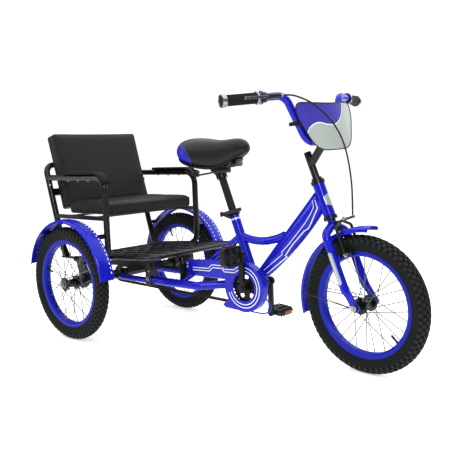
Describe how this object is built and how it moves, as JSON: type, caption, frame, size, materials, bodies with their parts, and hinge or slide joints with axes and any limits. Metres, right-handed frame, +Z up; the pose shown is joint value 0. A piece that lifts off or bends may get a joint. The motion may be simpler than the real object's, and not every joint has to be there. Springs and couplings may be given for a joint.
{
  "type": "child's tricycle with passenger seat",
  "caption": "Child's pedal tricycle: one steered front wheel, two rear wheels, chain drive, saddle, and a cushioned passenger seat over a rear rack.",
  "frame": {"origin": "on the floor, under the middle of the tricycle's length and width", "axes": "+X forward, +Y to the rider's left, +Z up"},
  "size_m": [1.4457, 0.6484, 0.823],
  "materials": {
    "blue_paint": "gloss",
    "blue_rim": "gloss",
    "black_paint": "semi-gloss",
    "seat_vinyl": "satin vinyl",
    "arm_foam": "matte",
    "saddle_cover": "satin",
    "chain_steel": "oiled",
    "bright_steel": "zinc plated",
    "spoke_steel": "satin",
    "tyre_rubber": "matte",
    "pedal_plastic": "matte",
    "grip_rubber": "matte",
    "plate_plastic": "gloss",
    "bracket_plastic": "matte",
    "cable_sheath": "satin"
  },
  "bodies": {
    "frame": {"main_frame": "blue_paint", "headset_cups": "black_paint", "bottom_bracket_cups": "black_paint", "right_chainstay": "blue_paint", "left_chainstay": "blue_paint", "seat_stays": "blue_paint", "stay_brackets": "black_paint", "axle_stays": "blue_paint", "axle_housing": "black_paint", "rear_rack": "black_paint", "seat_hoop": "black_paint", "right_seat_side": "black_paint", "left_seat_side": "black_paint", "seat_rails": "black_paint", "passenger_cushion": "seat_vinyl", "passenger_backrest": "seat_vinyl", "armrest_pads": "arm_foam", "seatpost": "black_paint", "seat_clamp": "black_paint", "saddle": "saddle_cover", "saddle_rails": "black_paint", "chain": "chain_steel", "chain_guard": "blue_paint", "rear_right_fender": "blue_paint", "rear_left_fender": "blue_paint", "rear_fender_brackets": "black_paint"},
    "crank": {"crank": "black_paint", "chainring": "black_paint"},
    "right_pedal": {"right_pedal": "pedal_plastic"},
    "left_pedal": {"left_pedal": "pedal_plastic"},
    "rear_sprocket": {"rear_sprocket": "chain_steel"},
    "rear_right_wheel": {"rear_right_tyre": "tyre_rubber", "rear_right_rim": "blue_rim", "rear_right_spokes": "spoke_steel", "rear_right_hub": "black_paint", "rear_axle": "bright_steel"},
    "rear_left_wheel": {"rear_left_tyre": "tyre_rubber", "rear_left_rim": "blue_rim", "rear_left_spokes": "spoke_steel", "rear_left_hub": "black_paint"},
    "steering": {"fork": "blue_paint", "front_axle": "bright_steel", "stem": "black_paint", "handlebar": "blue_paint", "grips": "grip_rubber", "brake_lever": "black_paint", "brake_caliper": "black_paint", "front_plate": "plate_plastic", "plate_brackets": "bracket_plastic", "front_fender": "blue_paint", "front_fender_stays": "black_paint", "brake_cable": "cable_sheath"},
    "front_wheel": {"front_tyre": "tyre_rubber", "front_rim": "blue_rim", "front_spokes": "spoke_steel", "front_hub": "black_paint"}
  },
  "joints": [
    {"name": "steering", "type": "hinge", "parent": "frame", "child": "steering", "pos_m": [0.39925, 0, 0.452], "axis": [-0.3746, 0, 0.9272], "range_deg": [-40.7, 49.3]},
    {"name": "front_wheel_spin", "type": "hinge", "parent": "steering", "child": "front_wheel", "pos_m": [0.51372, -0.00095, 0.20249], "axis": [0.0695, 0.9972, 0.0281], "continuous": true},
    {"name": "rear_right_wheel_spin", "type": "hinge", "parent": "frame", "child": "rear_right_wheel", "pos_m": [-0.51375, -0.28, 0.2025], "axis": [0, 1, 0], "continuous": true},
    {"name": "rear_left_wheel_spin", "type": "hinge", "parent": "frame", "child": "rear_left_wheel", "pos_m": [-0.51375, 0.28, 0.2025], "axis": [0, 1, 0], "continuous": true},
    {"name": "crank_spin", "type": "hinge", "parent": "frame", "child": "crank", "pos_m": [0.11485, 0, 0.217], "axis": [0, 1, 0], "continuous": true},
    {"name": "right_pedal_spin", "type": "hinge", "parent": "crank", "child": "right_pedal", "pos_m": [0.11485, -0.1, 0.327], "axis": [0, 1, 0], "continuous": true},
    {"name": "left_pedal_spin", "type": "hinge", "parent": "crank", "child": "left_pedal", "pos_m": [0.11485, 0.1, 0.107], "axis": [0, 1, 0], "continuous": true},
    {"name": "rear_sprocket_spin", "type": "hinge", "parent": "frame", "child": "rear_sprocket", "pos_m": [-0.51375, -0.05, 0.2025], "axis": [0, 1, 0], "continuous": true}
  ],
  "couplings": [
    {"joint": "rear_sprocket_spin", "follows": "crank_spin", "ratio": 2}
  ]
}
